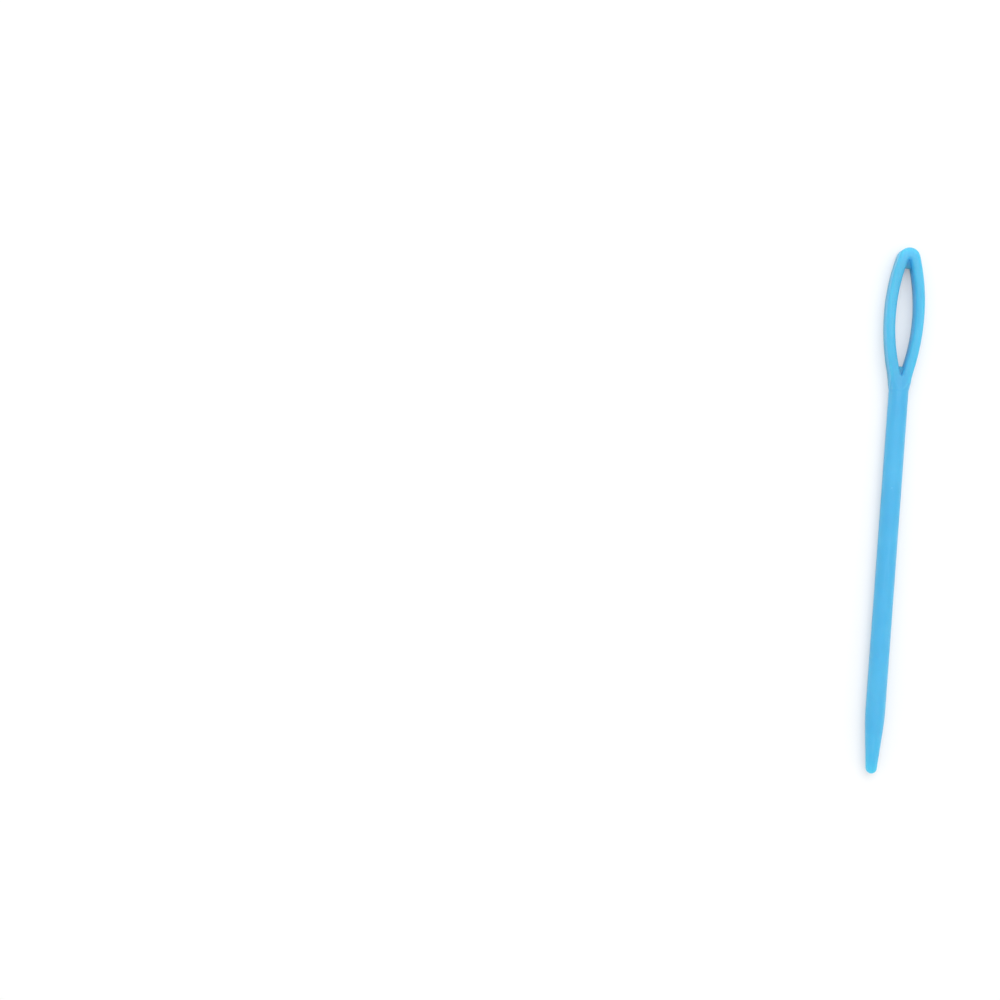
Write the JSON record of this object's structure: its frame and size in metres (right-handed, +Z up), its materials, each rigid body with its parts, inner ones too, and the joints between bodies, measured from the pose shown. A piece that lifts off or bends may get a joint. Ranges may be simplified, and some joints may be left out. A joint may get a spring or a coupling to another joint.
{
  "type": "yarn needle",
  "caption": "Plastic yarn needle with a long leaf-shaped eye between bowed limbs, a straight round shaft and a blunt tapered tip, moulded in one piece",
  "frame": {"origin": "on the resting plane, under the middle of the needle's length", "axes": "the eye end points along +Y and the tip along -Y; +Z is up, square to the eye's plane; X runs across the eye"},
  "size_m": [0.0068, 0.095, 0.0035],
  "materials": {
    "needle_plastic": "satin"
  },
  "bodies": {
    "root": {"needle": "needle_plastic"}
  },
  "joints": []
}
